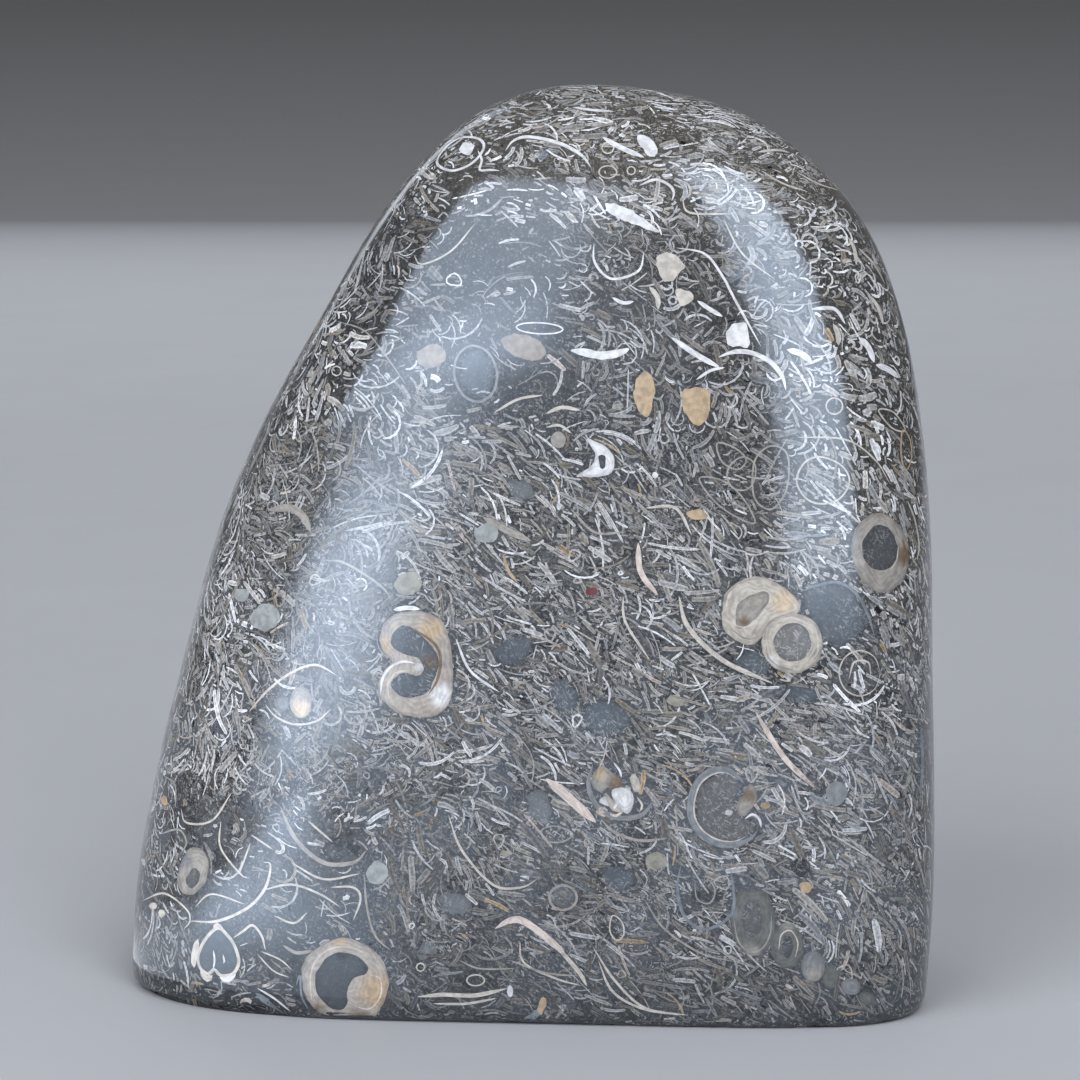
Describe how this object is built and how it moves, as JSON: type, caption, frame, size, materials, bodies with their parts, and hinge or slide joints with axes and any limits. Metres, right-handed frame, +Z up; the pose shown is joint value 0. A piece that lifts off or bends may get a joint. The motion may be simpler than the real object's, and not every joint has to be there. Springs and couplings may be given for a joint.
{
  "type": "polished fossil shell limestone freeform",
  "caption": "Freestanding polished natural stone full of cut fossil shells, hill-shaped with a domed top, softly crowned faces and a sawn flat base to stand on.",
  "frame": {"origin": "middle of the stone's bounding box, on the plane of its sawn base", "axes": "+Z up from the base to the summit, the broad front faces -Y, +X to the right as the front is seen"},
  "size_m": [0.1166, 0.0688, 0.13],
  "materials": {
    "polished_limestone": "hand-polished to a satin gloss, dark grey lime mud with blue-grey and olive-brown clouds",
    "fossil_shell": "calcite shell polished flush with the stone, white to cream, grey and tan"
  },
  "bodies": {
    "root": {"stone": "polished_limestone"}
  },
  "joints": []
}
